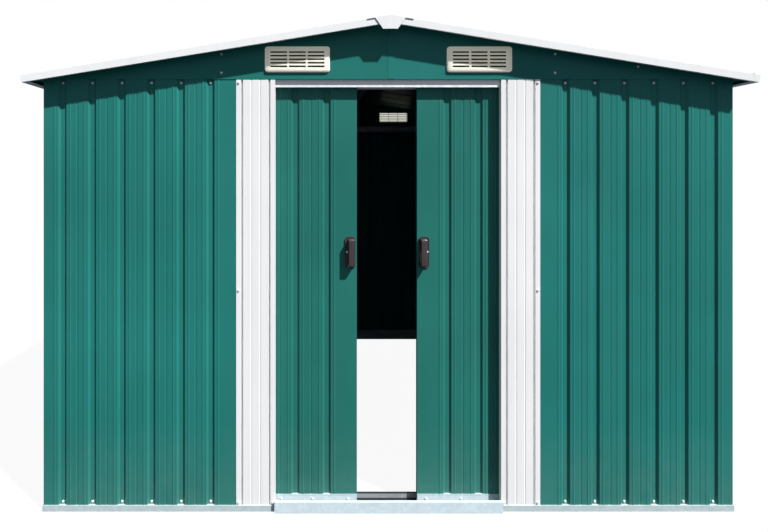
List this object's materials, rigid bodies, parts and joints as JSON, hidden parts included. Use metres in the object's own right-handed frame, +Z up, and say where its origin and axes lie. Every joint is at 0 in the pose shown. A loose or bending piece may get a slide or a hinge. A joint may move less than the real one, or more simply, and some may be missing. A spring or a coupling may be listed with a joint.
{
  "type": "metal storage shed",
  "caption": "Walk-in garden shed of ribbed green sheet with a low gable roof, white posts and trims, gable vents and two sliding doors.",
  "frame": {"origin": "centre of the footprint, on the ground", "axes": "+X to the right along the front, +Y from the front to the back, +Z up; the doorway faces -Y"},
  "size_m": [2.6002, 2.056, 1.7759],
  "materials": {
    "green_paint": "satin green paint on rolled steel sheet",
    "white_paint": "satin white paint",
    "galvanised_steel": "galvanised, with a soft spangle",
    "vent_plastic": "matt cream moulding",
    "handle_plastic": "satin dark brown moulding",
    "glide_plastic": "matt black nylon"
  },
  "bodies": {
    "root": {"base_rail_left": "galvanised_steel", "base_rail_right": "galvanised_steel", "base_rail_rear": "galvanised_steel", "base_rail_front_left": "galvanised_steel", "base_rail_front_right": "galvanised_steel", "door_sill": "galvanised_steel", "door_track": "galvanised_steel", "front_wall_left": "green_paint", "front_wall_right": "green_paint", "side_wall_left": "green_paint", "side_wall_right": "green_paint", "rear_wall": "green_paint", "door_post_left": "white_paint", "door_post_right": "white_paint", "front_gable_left": "green_paint", "front_gable_right": "green_paint", "rear_gable_left": "green_paint", "rear_gable_right": "green_paint", "top_rail_left": "galvanised_steel", "top_rail_right": "galvanised_steel", "top_rail_rear": "galvanised_steel", "door_header": "galvanised_steel", "roof_beam_left": "galvanised_steel", "roof_beam_right": "galvanised_steel", "ridge_beam": "galvanised_steel", "roof_panel_left": "green_paint", "roof_panel_right": "green_paint", "ridge_cap": "white_paint", "roof_trim_front_left": "white_paint", "roof_trim_front_right": "white_paint", "roof_trim_rear_left": "white_paint", "roof_trim_rear_right": "white_paint", "eave_trim_left": "white_paint", "eave_trim_right": "white_paint", "vent_front_left": "vent_plastic", "vent_front_right": "vent_plastic", "vents_rear": "vent_plastic"},
    "door_left": {"door_leaf_left": "green_paint", "door_rails_left": "galvanised_steel", "door_handle_left": "handle_plastic", "door_glides_left": "glide_plastic"},
    "door_right": {"door_leaf_right": "green_paint", "door_rails_right": "galvanised_steel", "door_handle_right": "handle_plastic", "door_glides_right": "glide_plastic"}
  },
  "joints": [
    {"name": "slide_left", "type": "slide", "parent": "root", "child": "door_left", "axis": [-1, 0, 0], "range_m": [-0.107, 0.233]},
    {"name": "slide_right", "type": "slide", "parent": "root", "child": "door_right", "axis": [1, 0, 0], "range_m": [-0.107, 0.233]}
  ]
}
